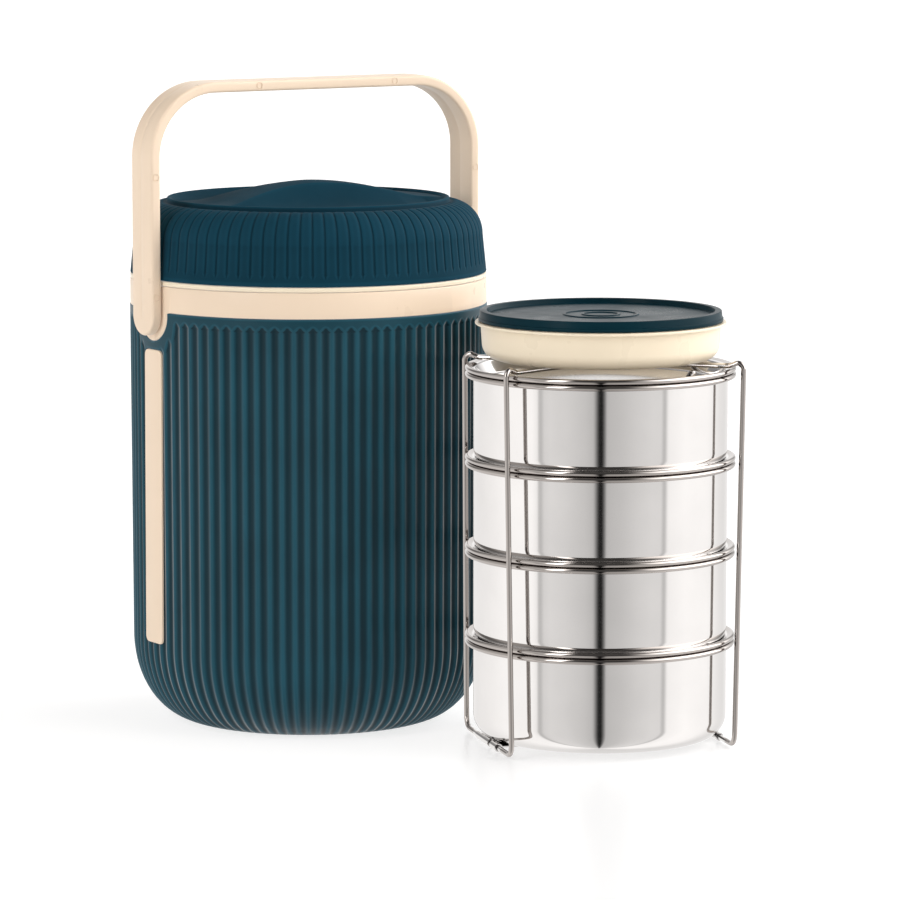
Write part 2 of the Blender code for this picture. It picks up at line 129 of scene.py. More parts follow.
def joined(rows, ring=False):
    """Vertices and faces of a surface through rings of points; with ring, the last one joins the first."""
    vertices = []
    numbered = []
    for row in rows:
        numbered.append(list(range(len(vertices), len(vertices) + len(row))))
        vertices.extend(row)
    pairs = list(zip(numbered, numbered[1:]))
    if ring:
        pairs.append((numbered[-1], numbered[0]))
    faces = []
    for first, second in pairs:
        faces.extend(bridge(first, second))
    return vertices, faces


def skin(name, rows, material, ring=False, sharp=42):
    """A piece whose surface runs through rings of points."""
    return add_mesh(name, *joined(rows, ring), material, sharp)


def circle(radius, height, count, centre=(0.0, 0.0)):
    """A level ring of points, or one point where the radius is nothing."""
    if radius < 0.000001:
        return np.array([(centre[0], centre[1], height)])
    angles = np.arange(count) * 2 * np.pi / count
    return np.column_stack([centre[0] + radius * np.cos(angles), centre[1] + radius * np.sin(angles),
                            np.full(count, height)])


def rounded(corners, segments=4, closed=False):
    """An outline through (x, y, radius) corners, each rounded by an arc of its radius."""
    outline = []
    count = len(corners)
    for i, corner in enumerate(corners):
        point = Vector(corner[:2])
        radius = corner[2] if len(corner) > 2 else 0.0
        at_end = not closed and i in (0, count - 1)
        if radius <= 0.0 or at_end:
            outline.append(tuple(point))
            continue
        back = (Vector(corners[i - 1][:2]) - point).normalized()
        ahead = (Vector(corners[(i + 1) % count][:2]) - point).normalized()
        half = back.angle(ahead) / 2
        centre = point + (back + ahead).normalized() * radius / math.sin(half)
        start = point + back * radius / math.tan(half) - centre
        end = point + ahead * radius / math.tan(half) - centre
        sweep = start.angle_signed(end)
        for step in range(segments + 1):
            turned = start.copy()
            turned.rotate(Matrix.Rotation(-sweep * step / segments, 2))
            outline.append(tuple(centre + turned))
    return outline


def disc(radius, centre, step):
    """A round outline about a centre, with a corner every few degrees."""
    return [(centre[0] + radius * math.cos(a), centre[1] + radius * math.sin(a))
            for a in np.radians(np.arange(0, 360, step))]


def lathe(name, corners, material, centre=(0.0, 0.0), steps=ROUND_STEPS, ring=False, segments=4):
    """A profile of (radius, height, corner radius) turned about a vertical axis."""
    profile = rounded(corners, segments, closed=ring)
    return skin(name, [circle(radius, height, steps, centre) for radius, height in profile], material, ring)


def prism(name, outline, low, high, axis, material=None):
    """A flat outline pushed along an axis: (y, z) outlines go along X, and (x, z) ones along Y."""
    rows = []
    for distance in (low, high):
        rows.append([(distance, a, b) if axis == "X" else (a, distance, b) for a, b in outline])
    vertices, faces = joined(rows)
    count = len(outline)
    faces += [tuple(range(count)), tuple(range(count, 2 * count))]
    return add_mesh(name, vertices, faces, material or bpy.data.materials[0])


def placed(piece, matrix):
    """Move a piece's points, so that its object stays at the origin."""
    piece.data.transform(matrix)
    piece.data.update()
    return piece


def baked(piece, sharp):
    """Replace a piece's mesh by the one that its modifiers make."""
    evaluated = piece.evaluated_get(bpy.context.evaluated_depsgraph_get())
    mesh = bpy.data.meshes.new_from_object(evaluated)
    piece.modifiers.clear()
    piece.data = mesh
    smoothed(mesh, sharp)


def shaped(piece, *cutters, operation="DIFFERENCE", sharp=42):
    """Cut, join or intersect a piece with others, which are used up."""
    material = piece.data.materials[0]
    for cutter in cutters:
        modifier = piece.modifiers.new(cutter.name, "BOOLEAN")
        modifier.operation = operation
        modifier.solver = "EXACT"
        modifier.object = cutter
    baked(piece, sharp)
    for cutter in cutters:
        bpy.data.objects.remove(cutter, do_unlink=True)
    piece.data.materials.clear()
    piece.data.materials.append(material)
    return piece


def softened(piece, width, segments, angle):
    """Round a piece's sharp edges with a bevel."""
    modifier = piece.modifiers.new("soften", "BEVEL")
    modifier.width = width
    modifier.segments = segments
    modifier.limit_method = "ANGLE"
    modifier.angle_limit = math.radians(angle)
    modifier.harden_normals = False
    baked(piece, sharp=42)
    return piece


# The pans shine as if the casing beside them were not there.
UNMIRRORED = ("casing", "lid", "handle")


def stands_for(piece, body, slot, *nodes):
    """Tie a finished piece to its body and hide the CAD nodes that it replaces; its material slot is not used.
    """
    piece.visible_glossy = body not in UNMIRRORED
    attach(piece, body)
    if nodes:
        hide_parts(*nodes)
    return piece


# ---------------------------------------------------------------- materials

# Most of a noise's values lie in this range.
NOISE_RANGE = (0.3, 0.7)
CLOUD_SCALE = 22.0
PATCH_SCALE = 60.0
GRAIN_SCALE = 2600.0
GRAIN_DEPTH = 0.04 * MM
# Pointiness over which convex edges get a painted highlight, and from a rib's hollow to its crest, over which
# painted shade fades out of the hollows.
EDGE_RANGE = (0.52, 0.62)
HOLLOW_RANGE = (0.485, 0.515)
EDGE_HIGHLIGHT = 0.35
POLISH_SCALE = 260.0
POLISH_STRETCH = (0.03, 0.03, 6.0)
POLISH_DEPTH = 0.01 * MM
SMUDGE_SCALE = 35.0
CELL_SCALE = 900.0
CELL_DEPTH = 0.4 * MM


def add_node(tree, kind, inputs=None, **settings):
    """A node with its settings and inputs; an input given as another node's socket is linked to it."""
    node = tree.nodes.new(kind)
    for name, value in settings.items():
        setattr(node, name, value)
    for name, value in (inputs or {}).items():
        if isinstance(value, bpy.types.NodeSocket):
            tree.links.new(value, node.inputs[name])
        else:
            node.inputs[name].default_value = value
    return node


def new_material(name, colour, roughness, metallic=0.0):
    """A Principled material, its node tree and its shader."""
    material = bpy.data.materials.new(name)
    material.use_nodes = True
    shader = material.node_tree.nodes["Principled BSDF"]
    shader.inputs["Base Color"].default_value = (*colour, 1.0)
    shader.inputs["Roughness"].default_value = roughness
    shader.inputs["Metallic"].default_value = metallic
    return material, material.node_tree, shader


def noise(tree, scale, detail=4.0, stretch=(1.0, 1.0, 1.0)):
    """A noise in the object's own metres, stretched along its axes."""
    place = add_node(tree, "ShaderNodeTexCoord").outputs["Object"]
    mapping = add_node(tree, "ShaderNodeMapping", {"Vector": place, "Scale": stretch})
    texture = add_node(tree, "ShaderNodeTexNoise",
                       {"Vector": mapping.outputs["Vector"], "Scale": scale, "Detail": detail})
    return texture.outputs["Fac"]


def ranged(tree, value, span, low, high, curve="LINEAR"):
    """A value's span spread over a new range."""
    limits = {"Value": value, "From Min": span[0], "From Max": span[1], "To Min": low, "To Max": high}
    return add_node(tree, "ShaderNodeMapRange", limits, interpolation_type=curve).outputs["Result"]


def mixed(tree, factor, first, second):
    """A colour between two, each of them a colour or another node's socket."""
    ends = [value if isinstance(value, bpy.types.NodeSocket) else (*value, 1.0) for value in (first, second)]
    mix = add_node(tree, "ShaderNodeMix", {"Factor": factor, "A": ends[0], "B": ends[1]}, data_type="RGBA")
    return mix.outputs["Result"]


def vector_math(tree, operation, inputs, output="Vector"):
    """The result of a vector operation."""
    return add_node(tree, "ShaderNodeVectorMath", inputs, operation=operation).outputs[output]


def bumped(tree, shader, height, distance, strength):
    """Fine relief on a shader's normal."""
    bump = add_node(tree, "ShaderNodeBump", {"Height": height, "Distance": distance, "Strength": strength})
    tree.links.new(bump.outputs["Normal"], shader.inputs["Normal"])


def moulded(name, colour, roughness, grain=0.35, variation=0.10, gloss=0.5, hollows=1.0):
    """Moulded plastic: cloudy colour, a fine grain, a painted highlight that makes convex edges paler and,
    where asked, painted shade that darkens the hollows.
    """
    material, tree, shader = new_material(name, colour, roughness)
    shader.inputs["Specular IOR Level"].default_value = gloss
    darker = [c * (1 - variation) for c in colour]
    paler = [min(1.0, c * (1 + variation)) for c in colour]
    # Painted highlight: convex edges and rib crests, found by pointiness, are coloured paler.
    highlight_colour = [min(1.0, c * 1.25 + 0.01) for c in colour]
    clouded = mixed(tree, ranged(tree, noise(tree, CLOUD_SCALE), NOISE_RANGE, 0.0, 1.0), darker, paler)
    relief = add_node(tree, "ShaderNodeNewGeometry").outputs["Pointiness"]
    edge_highlighted = mixed(tree, ranged(tree, relief, EDGE_RANGE, 0.0, EDGE_HIGHLIGHT), clouded, highlight_colour)
    # Painted shade: concave hollows such as rib grooves, found by pointiness, are darkened by the hollows
    # factor.
    hollow_shade = ranged(tree, relief, HOLLOW_RANGE, hollows, 1.0, "SMOOTHSTEP")
    tree.links.new(vector_math(tree, "SCALE", {0: edge_highlighted, "Scale": hollow_shade}), shader.inputs["Base Color"])
    patches = ranged(tree, noise(tree, PATCH_SCALE), NOISE_RANGE, roughness - 0.05, roughness + 0.06)
    tree.links.new(patches, shader.inputs["Roughness"])
    bumped(tree, shader, noise(tree, GRAIN_SCALE, detail=2.0), GRAIN_DEPTH, grain)
    return material


def painted_dark_outside(tree, centre, radius, inner, outer):
    """A colour that turns darker beyond a radius from a vertical axis: a painted dark reflection on rolled rims
    and wires.
    """
    place = add_node(tree, "ShaderNodeTexCoord").outputs["Object"]
    offset = vector_math(tree, "SUBTRACT", {0: place, 1: (*centre, 0.0)})
    level = vector_math(tree, "MULTIPLY", {0: offset, 1: (1.0, 1.0, 0.0)})
    length = vector_math(tree, "LENGTH", {0: level}, "Value")
    share = ranged(tree, length, (radius, radius + 0.5 * MM), 0.0, 1.0)
    return mixed(tree, share, inner, outer)


def steel(name, colour, roughness, streak, grain, rims=None):
    """Stainless steel with faint level polishing lines, and rims darkened by a painted dark reflection where
    they are given.
    """
    material, tree, shader = new_material(name, colour, roughness, metallic=1.0)
    lines = noise(tree, POLISH_SCALE, detail=5.0, stretch=POLISH_STRETCH)
    shine = ranged(tree, lines, NOISE_RANGE, roughness, roughness + streak)
    tree.links.new(shine, shader.inputs["Roughness"])
    smudges = ranged(tree, noise(tree, SMUDGE_SCALE), NOISE_RANGE, 0.0, 1.0)
    shade = mixed(tree, smudges, colour, [c * 0.94 for c in colour])
    # Painted dark reflection: beyond the given radius the steel takes a darker, browner colour.
    if rims:
        centre, radius, reflection_dark = rims
        shade = painted_dark_outside(tree, centre, radius, shade, reflection_dark)
    tree.links.new(shade, shader.inputs["Base Color"])
    bumped(tree, shader, lines, POLISH_DEPTH, grain)
    return material


def foam(name, colour):
    """Rigid insulating foam with small cells."""
    material, tree, shader = new_material(name, colour, 0.95)
    place = add_node(tree, "ShaderNodeTexCoord").outputs["Object"]
    cells = add_node(tree, "ShaderNodeTexVoronoi", {"Vector": place, "Scale": CELL_SCALE}).outputs["Distance"]
    tree.links.new(mixed(tree, cells, colour, [c * 0.7 for c in colour]), shader.inputs["Base Color"])
    bumped(tree, shader, cells, CELL_DEPTH, 0.7)
    return material


# ---------------------------------------------------------------- ribbed surfaces

def rib_across():
    """How far each column lies from its rib's crest: 0 on the crest, 1 in the groove."""
    columns = np.arange(RIBBED) / RIB_COLUMNS + RIB_PHASE
    return np.abs(2 * (columns % 1.0) - 1.0)


def ribbed_row(radius, height, normal, depth):
    """A ring of points sunk below a turned surface by a depth for each column."""
    angles = np.arange(RIBBED) * 2 * np.pi / RIBBED
    reach = radius - normal[0] * depth
    return np.column_stack([reach * np.cos(angles), reach * np.sin(angles), height - normal[1] * depth])


def casing_flute(across):
    """A casing rib's relief: a round crest between wide hollows, from 0 to 1."""
    return 0.5 - 0.5 * np.cos(np.pi * across ** 0.85)


def lid_flute(across):
    """A lid rib's relief: a wide crest between narrow grooves, from 0 to 1."""
    return across ** LID_RIB_SHAPE


def groove_depth(relief, full, clearance):
    """Depth of the grooves, which rise out of the surface as their clearance to its edge runs out."""
    rise = full * np.clip(1.0 - clearance / RUN_OUT, 0.0, 1.0)
    return np.maximum(0.0, full * relief - rise)


# ---------------------------------------------------------------- casing

CASING_WALL = 2.6 * MM
CASING_DRAFT = 0.6 * MM
BASE_FLAT_RADIUS = 57.5 * MM
BASE_CORNER_HEIGHT = 43 * MM
RIB_END_RADIUS = 60.5 * MM
TOP_BAND = 3.7 * MM
LUG_BAND = 4.8 * MM
SOFT_EDGE = 0.5 * MM
FIT = 0.3 * MM
LINER_RADIUS = 71.2 * MM
LINER_WALL = 0.8 * MM
COLLAR_WALL = 2.4 * MM
COLLAR_BORE = 72.6 * MM
COLLAR_LIP = 76.0 * MM
COLLAR_FOOT = 200 * MM
PIVOT_HOLE_RADIUS = 4.3 * MM
# Half a cutter's length where it only has to reach past the casing.
PAST_CASING = 110 * MM

casing_radius = radius_of("outer_shell")
casing_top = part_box("outer_shell")[1][2]
pivot_z = joint_named("handle_swing")["pos_m"][2]
collar_low, collar_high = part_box("collar")
lug_radius = pivot_z - collar_low[2]
base_radius = radius_of("base_cover")


def soft_min(first, second, blend):
    """The smaller of two distances, with a rounded corner where they meet."""
    gap = np.clip(0.5 + 0.5 * (second - first) / blend, 0.0, 1.0)
    return second * (1 - gap) + first * gap - blend * gap * (1 - gap)


def edge_distance(radius, height):
    """How far below the casing's top edge, or outside its lug notches, each column's point lies."""
    angles = np.arange(RIBBED) * 2 * np.pi / RIBBED
    to_lug = np.hypot(radius * np.sin(angles), height - pivot_z) - lug_radius
    below_top = np.full(RIBBED, casing_top - height)
    return soft_min(below_top - TOP_BAND, to_lug * TOP_BAND / LUG_BAND - TOP_BAND, 3 * MM)


def strip_lean():
    """The tilt of the casing's side, which the strips follow."""
    return math.atan2(CASING_DRAFT, casing_top - BASE_CORNER_HEIGHT)


def strip_outline(growth):
    """A side strip seen from the side, grown by a margin."""
    low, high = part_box("side_strip_left")
    half = (high[1] - low[1]) / 2 + growth
    bottom = low[2] - growth
    top = high[2] + growth
    corner = 3 * MM + growth
    corners = [(half, bottom, corner), (half, top, corner), (-half, top, corner), (-half, bottom, corner)]
    return rounded(corners, segments=8, closed=True)


def make_shell(material):
    """The ribbed shell, open at the top and with the base cover's hole, cut for the lugs and strips."""
    relief = casing_flute(rib_across())
    rows = []
    for height in (casing_top, casing_top - 0.1 * MM, casing_top - 0.3 * MM):
        inward = SOFT_EDGE - math.sqrt(max(0.0, SOFT_EDGE ** 2 - (SOFT_EDGE - (casing_top - height)) ** 2))
        rows.append(ribbed_row(casing_radius - inward, height, (1.0, 0.0), np.zeros(RIBBED)))
    levels = list(np.arange(casing_top - SOFT_EDGE, casing_top - 8 * MM, -0.4 * MM))
    levels += list(np.arange(casing_top - 8 * MM, pivot_z - lug_radius - 9 * MM, -0.6 * MM))
    levels += list(np.linspace(levels[-1] - 4 * MM, BASE_CORNER_HEIGHT + 4 * MM, 9))
    for height in levels:
        radius = casing_radius - CASING_DRAFT * (casing_top - height) / (casing_top - BASE_CORNER_HEIGHT)
        depth = groove_depth(relief, RIB_DEPTH, edge_distance(radius, height))
        rows.append(ribbed_row(radius, height, (1.0, 0.0), depth))
    waist = casing_radius - CASING_DRAFT
    reach = waist - BASE_FLAT_RADIUS
    for angle in np.radians(np.linspace(0, -89, 32)):
        radius = BASE_FLAT_RADIUS + reach * math.cos(angle)
        height = BASE_CORNER_HEIGHT * (1 + math.sin(angle))
        normal = Vector((math.cos(angle) / reach, math.sin(angle) / BASE_CORNER_HEIGHT)).normalized()
        full = RIB_DEPTH * min(1.0, radius / waist)
        depth = groove_depth(relief, full, np.full(RIBBED, 0.25 * (radius - RIB_END_RADIUS)))
        rows.append(ribbed_row(radius, height, normal, depth))
    inner = waist - CASING_WALL
    hollow = [(BASE_FLAT_RADIUS, 0.0), (base_radius + FIT, 0.0), (base_radius + FIT, CASING_WALL),
              (BASE_FLAT_RADIUS, CASING_WALL)]
    for angle in np.radians(np.linspace(-80, 0, 9)):
        hollow.append((BASE_FLAT_RADIUS + (inner - BASE_FLAT_RADIUS) * math.cos(angle),
                       CASING_WALL + (BASE_CORNER_HEIGHT - CASING_WALL) * (1 + math.sin(angle))))
    hollow += [(inner + CASING_DRAFT, casing_top)]
    rows += [circle(radius, height, PLAIN) for radius, height in hollow]
    shell = skin("outer_shell_ribbed", rows, material, ring=True, sharp=50)

    notch = prism("lug_notch", disc(lug_radius * 1.025, (0.0, pivot_z), 4), -0.1, 0.1, "X")
    return shaped(shell, notch, strip_pocket(-1), strip_pocket(1), sharp=50)


def strip_frame(side):
    """Places a strip that was made facing +X: on its side of the casing and leaning with it."""
    lean = Matrix.Rotation(-strip_lean(), 4, "Y")
    face = Matrix.Translation((casing_radius, 0.0, casing_top)) @ lean
    turn = Matrix.Rotation(0.0 if side > 0 else math.pi, 4, "Z")
    return turn @ face @ Matrix.Translation((0.0, 0.0, -casing_top))


STRIP_INSET = 0.15 * MM
STRIP_THICKNESS = 1.0 * MM
STRIP_EDGE = 0.35 * MM


def strip_pocket(side):
    """The recess that a side strip lies in."""
    floor = -(STRIP_INSET + STRIP_THICKNESS + FIT)
    pocket = prism("strip_pocket", strip_outline(0.45 * MM), floor, 0.004, "X")
    return placed(pocket, strip_frame(side))


def make_strip(name, side, material):
    """A flat strip with round corners and soft edges, let into the casing's side."""
    rows = []
    for depth, inset in ((STRIP_THICKNESS, 0.0), (STRIP_EDGE, 0.0), (0.5 * STRIP_EDGE, 0.13 * STRIP_EDGE),
                         (0.13 * STRIP_EDGE, 0.5 * STRIP_EDGE), (0.0, STRIP_EDGE)):
        rows.append([(-STRIP_INSET - depth, y, z) for y, z in strip_outline(-inset)])
    vertices, faces = joined(rows)
    count = len(rows[0])
    faces += [tuple(range(count)), tuple(range(len(vertices) - count, len(vertices)))]
    return placed(add_mesh(name, vertices, faces, material), strip_frame(side))


def make_base_cover(material):
    """The round cover under the base, dished, with two raised rings."""
    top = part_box("base_cover")[1][2]
    dish = 0.9 * MM
    crest = dish - 0.5 * MM
    corners = [(0.0, top), (base_radius, top, 0.3 * MM), (base_radius, 0.0, 0.4 * MM),
               (base_radius - 3 * MM, 0.0, 0.3 * MM), (base_radius - 4 * MM, dish, 0.3 * MM)]
    for middle in (32 * MM, 16 * MM):
        corners += [(middle + 1.2 * MM, dish, 0.3 * MM), (middle + 0.5 * MM, crest, 0.2 * MM),
                    (middle - 0.5 * MM, crest, 0.2 * MM), (middle - 1.2 * MM, dish, 0.3 * MM)]
    corners.append((0.0, dish))
    return lathe("base_cover_dished", corners, material)


def make_liner(material):
    """The steel liner: a deep cup with a soft floor corner and an out-turned lip."""
    low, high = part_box("inner_liner")
    lip = radius_of("inner_liner")
    floor, top = low[2], high[2]
    outside = LINER_RADIUS + LINER_WALL
    corners = [(0.0, floor + LINER_WALL), (LINER_RADIUS, floor + LINER_WALL, 6 * MM),
               (LINER_RADIUS, top, 0.6 * MM), (lip, top, 0.3 * MM), (lip, top - 1 * MM, 0.3 * MM),
               (outside, top - 1 * MM, 0.3 * MM), (outside, floor, 6.8 * MM), (0.0, floor)]
    return lathe("inner_liner_fine", corners, material, segments=6)


def make_collar(material):
    """The collar ring, whose wall runs down in a round lug on each side to hold the handle."""
    radius = collar_high[1]
    inside = radius - COLLAR_WALL
    top = collar_high[2]
    foot = collar_low[2] - 2 * MM
    step = top - 2.5 * MM
    seat = top - 3.8 * MM
    channel = seat - COLLAR_WALL
    corners = [(radius, top, 0.4 * MM), (radius, foot), (inside, foot), (inside, step, 0.8 * MM),
               (COLLAR_BORE + 5.8 * MM, step), (COLLAR_BORE + 5.8 * MM, channel),
               (COLLAR_BORE + COLLAR_WALL, channel), (COLLAR_BORE + COLLAR_WALL, COLLAR_FOOT),
               (COLLAR_BORE, COLLAR_FOOT, 0.4 * MM), (COLLAR_BORE, seat, 0.2 * MM),
               (COLLAR_LIP, seat, 0.2 * MM), (COLLAR_LIP, top, 0.4 * MM)]
    collar = lathe("collar_with_lugs", corners, material, steps=240, ring=True)
    bottom = casing_top + FIT
    above = top + 5 * MM
    root = lug_radius * math.cos(math.asin((bottom - pivot_z) / lug_radius)) + 1.2 * MM
    outline = [(-PAST_CASING, above), (PAST_CASING, above), (PAST_CASING, bottom), (root, bottom)]
    outline += [(lug_radius * math.cos(a), pivot_z + lug_radius * math.sin(a))
                for a in np.radians(np.arange(-2, -180, -4))]
    outline += [(-root, bottom), (-PAST_CASING, bottom)]
    keep = prism("collar_side_view", outline, -PAST_CASING, PAST_CASING, "X")
    shaped(collar, keep, operation="INTERSECT")
    holes = []
    for side in (-1, 1):
        ends = sorted((side * 0.080, side * 0.095))
        holes.append(prism("pivot_hole", disc(PIVOT_HOLE_RADIUS, (0.0, pivot_z), 12), *ends, "X"))
    shaped(collar, *holes)
    return softened(collar, 0.35 * MM, segments=2, angle=55)


def make_casing_foam(material):
    """The foam between shell and liner, with the shell's round base."""
    low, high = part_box("casing_foam")
    radius, top = high[1:]
    waist = radius - CASING_DRAFT
    hollow = LINER_RADIUS + LINER_WALL + 0.5 * MM
    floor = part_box("inner_liner")[0][2] - 0.5 * MM
    corners = [(0.0, floor), (hollow, floor, 6 * MM), (hollow, top), (radius, top, 0.5 * MM),
               (waist, BASE_CORNER_HEIGHT)]
    reach = waist - BASE_FLAT_RADIUS
    rise = BASE_CORNER_HEIGHT - low[2]
    for angle in np.radians(np.arange(-8, -88, -8)):
        corners.append((BASE_FLAT_RADIUS + reach * math.cos(angle),
                        BASE_CORNER_HEIGHT + rise * math.sin(angle)))
    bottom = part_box("base_cover")[1][2] + FIT
    corners += [(base_radius, bottom), (0.0, bottom)]
    return lathe("casing_foam_cast", corners, material)


# ---------------------------------------------------------------- lid

LID_WALL = 2.2 * MM
LID_BAND = 3.5 * MM
SHOULDER_RADIUS = 16.3 * MM
SHOULDER_CENTRE = (71.1 * MM, 245.0 * MM)
LIP_RADIUS = 70.6 * MM
LIP_TOP = 263.2 * MM
SCOOP_FLOOR = 258.5 * MM
TOP_RADIUS = 68.8 * MM
TIP_ANGLE = 20
GRIP_HALF_WIDTH = 8.2 * MM
GRIP_ARCH = 52 * MM
CROWN = 0.7 * MM
SCOOP_STEPS = 48
# The lip's inner foot, where the lid's top begins.
RING_LEVEL = LIP_TOP - 0.5 * MM
lid_low, lid_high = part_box("lid_cover")


def lid_outer_rows():
    """The lid's ribbed side and shoulder, from its bottom edge up to the foot of the lip."""
    across = rib_across()
    bottom = lid_low[2]
    radius = radius_of("lid_cover")
    waist = SHOULDER_CENTRE[0] + SHOULDER_RADIUS
    slope = (radius - waist) / (SHOULDER_CENTRE[1] - bottom)
    rows = [ribbed_row(radius - inset, bottom + rise, (1.0, 0.0), np.zeros(RIBBED))
            for inset, rise in ((0.5 * MM, 0.0), (0.15 * MM, 0.15 * MM), (0.0, 0.5 * MM))]
    levels = list(np.arange(bottom + 2 * MM, bottom + 7 * MM, 0.4 * MM))
    levels += list(np.linspace(bottom + 8 * MM, SHOULDER_CENTRE[1], 5))
    for height in levels:
        depth = groove_depth(lid_flute(across), LID_RIB_DEPTH, np.full(RIBBED, height - bottom - LID_BAND))
        rows.append(ribbed_row(radius - slope * (height - bottom), height, (1.0, 0.0), depth))
    for angle in np.radians(np.linspace(3, 90, 34)):
        normal = (math.cos(angle), math.sin(angle))
        reach = SHOULDER_CENTRE[0] + SHOULDER_RADIUS * normal[0]
        full = LID_RIB_DEPTH * reach / waist
        half_pitch = math.pi * reach / RIB_COUNT
        along = (math.pi / 2 - angle) * SHOULDER_RADIUS - 1.4 * MM
        before_tip = max(0.0, 1.0 - along / half_pitch)
        fingers = np.minimum(1.0, (across ** 3 + before_tip ** 3) ** (1 / 3))
        rows.append(ribbed_row(reach, SHOULDER_CENTRE[1] + SHOULDER_RADIUS * normal[1], normal,
                               full * lid_flute(fingers)))
    return rows


def arch_height(x):
    """Height of the grip's edge at a distance along the lid: a parabola that runs out into the lid's top."""
    rise = (lid_high[2] - CROWN - RING_LEVEL) * (1.0 - (x / GRIP_ARCH) ** 2)
    blend = 1.6 * MM
    return RING_LEVEL + 0.5 * (rise + math.sqrt(rise ** 2 + blend ** 2)) - 0.5 * blend * abs(x) / GRIP_ARCH


def grip_half_width(share):
    """Half the grip's width, which grows from its middle to its ends."""
    end = TOP_RADIUS * math.sin(math.radians(TIP_ANGLE))
    return GRIP_HALF_WIDTH + (end - GRIP_HALF_WIDTH) * share ** 2


def lid_top_faces():
    """Vertices and faces of the lid's top: the arched grip between two scooped finger recesses."""
    vertices = []
    faces = []
    angles = np.radians(np.arange(180 - TIP_ANGLE, TIP_ANGLE - 1, -1))
    shares = np.cos(angles) / math.cos(math.radians(TIP_ANGLE))

    def add_patch(rows):
        """Add a grid of points, one list for each station."""
        start = len(vertices)
        width = len(rows[0])
        for row in rows:
            vertices.extend(row)
        for i in range(len(rows) - 1):
            for j in range(width - 1):
                corner = start + i * width + j
                faces.append((corner, corner + 1, corner + width + 1, corner + width))

    for side in (-1, 1):
        rows = []
        for angle, share in zip(angles, shares):
            half = grip_half_width(share)
            x = share * math.sqrt(TOP_RADIUS ** 2 - half ** 2)
            crest = arch_height(x)
            rim = (TOP_RADIUS * math.cos(angle), TOP_RADIUS * math.sin(angle))
            span = math.hypot(rim[0] - x, rim[1] - half)
            reach = max(0.000001, min(26 * MM, 0.62 * span))
            lip_reach = max(0.000001, min(8 * MM, 0.3 * span))
            floor = RING_LEVEL - (RING_LEVEL - SCOOP_FLOOR) * min(1.0, span / (24 * MM)) ** 1.5
            row = []
            for step in range(SCOOP_STEPS + 1):
                part = 0.5 - 0.5 * math.cos(math.pi * step / SCOOP_STEPS)
                away = part * span
                soft = 1.2 * MM
                from_crest = (math.sqrt(away ** 2 + soft ** 2) - soft) / reach
                from_lip = (span - away) / lip_reach
                height = floor + (crest - floor) * max(0.0, 1 - from_crest) ** 2.2
                height += (RING_LEVEL - floor) * max(0.0, 1 - from_lip) ** 2
                row.append((x + (rim[0] - x) * part, side * (half + (rim[1] - half) * part), height))
            row[0] = (row[0][0], row[0][1], crest)
            row[-1] = (rim[0], side * rim[1], RING_LEVEL)
            rows.append(row)
        add_patch(rows)
    end_angles = np.radians(np.arange(-TIP_ANGLE, TIP_ANGLE + 1))
    across = np.sin(end_angles) / math.sin(math.radians(TIP_ANGLE))
    rows = []
    for share in shares:
        half = grip_half_width(share)
        x_edge = share * math.sqrt(TOP_RADIUS ** 2 - half ** 2)
        crest = arch_height(x_edge)
        crown = CROWN * max(0.0, 1 - (x_edge / (GRIP_ARCH + 8 * MM)) ** 2)
        row = []
        for part in across:
            y = half * part
            x = share * math.sqrt(TOP_RADIUS ** 2 - y ** 2)
            row.append((x, y, crest + crown * (1 - part ** 2)))
        rows.append(row)
    for row in (rows[0], rows[-1]):
        row[:] = [(*point[:2], RING_LEVEL) for point in row]
    add_patch(rows)
    return vertices, faces


def make_lid_cover(material):
    """The ribbed lid with its lip, its arched grip and two finger recesses."""
    inner = SHOULDER_RADIUS - LID_WALL
    under = [(0.0, SCOOP_FLOOR - LID_WALL), (68 * MM, SCOOP_FLOOR - LID_WALL)]
    under += [(SHOULDER_CENTRE[0] + inner * math.cos(a), SHOULDER_CENTRE[1] + inner * math.sin(a))
              for a in np.radians(np.linspace(75, 0, 8))]
    under.append((radius_of("lid_cover") - LID_WALL, lid_low[2]))
    lip = rounded([(LIP_RADIUS + 0.35 * MM, LIP_TOP - 2.2 * MM), (LIP_RADIUS, LIP_TOP, 0.5 * MM),
                   (TOP_RADIUS + 0.55 * MM, LIP_TOP, 0.3 * MM),
                   (TOP_RADIUS + 0.25 * MM, RING_LEVEL, 0.15 * MM), (TOP_RADIUS, RING_LEVEL)])
    rows = [circle(radius, height, PLAIN) for radius, height in under]
    rows += lid_outer_rows()
    rows += [circle(radius, height, PLAIN) for radius, height in lip]
    vertices, faces = joined(rows)
    top_vertices, top_faces = lid_top_faces()
    faces += [tuple(len(vertices) + number for number in face) for face in top_faces]
    return add_mesh("lid_cover_ribbed", vertices + top_vertices, faces, material, sharp=50)


def make_lid_plate(material):
    """The pale plate under the lid, with its rim, its skirt and its domed roof."""
    low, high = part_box("lid_inner_plate")
    radius, roof = high[1:]
    rim_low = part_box("collar")[1][2] + FIT
    rim_top = lid_low[2] - FIT
    skirt = 70 * MM
    inside = 67.6 * MM
    ceiling = roof - 2.2 * MM
    corners = [(0.0, roof), (64.5 * MM, roof, 1 * MM), (66.8 * MM, rim_top, 1 * MM),
               (radius, rim_top, 0.3 * MM), (radius, rim_low, 0.5 * MM), (skirt, rim_low, 0.5 * MM), (skirt, low[2], 0.8 * MM),
               (inside, low[2], 0.8 * MM), (inside, roof - 7.5 * MM, 3 * MM), (64 * MM, ceiling, 3 * MM),
               (0.0, ceiling)]
    return lathe("lid_inner_plate_fine", corners, material, steps=192)


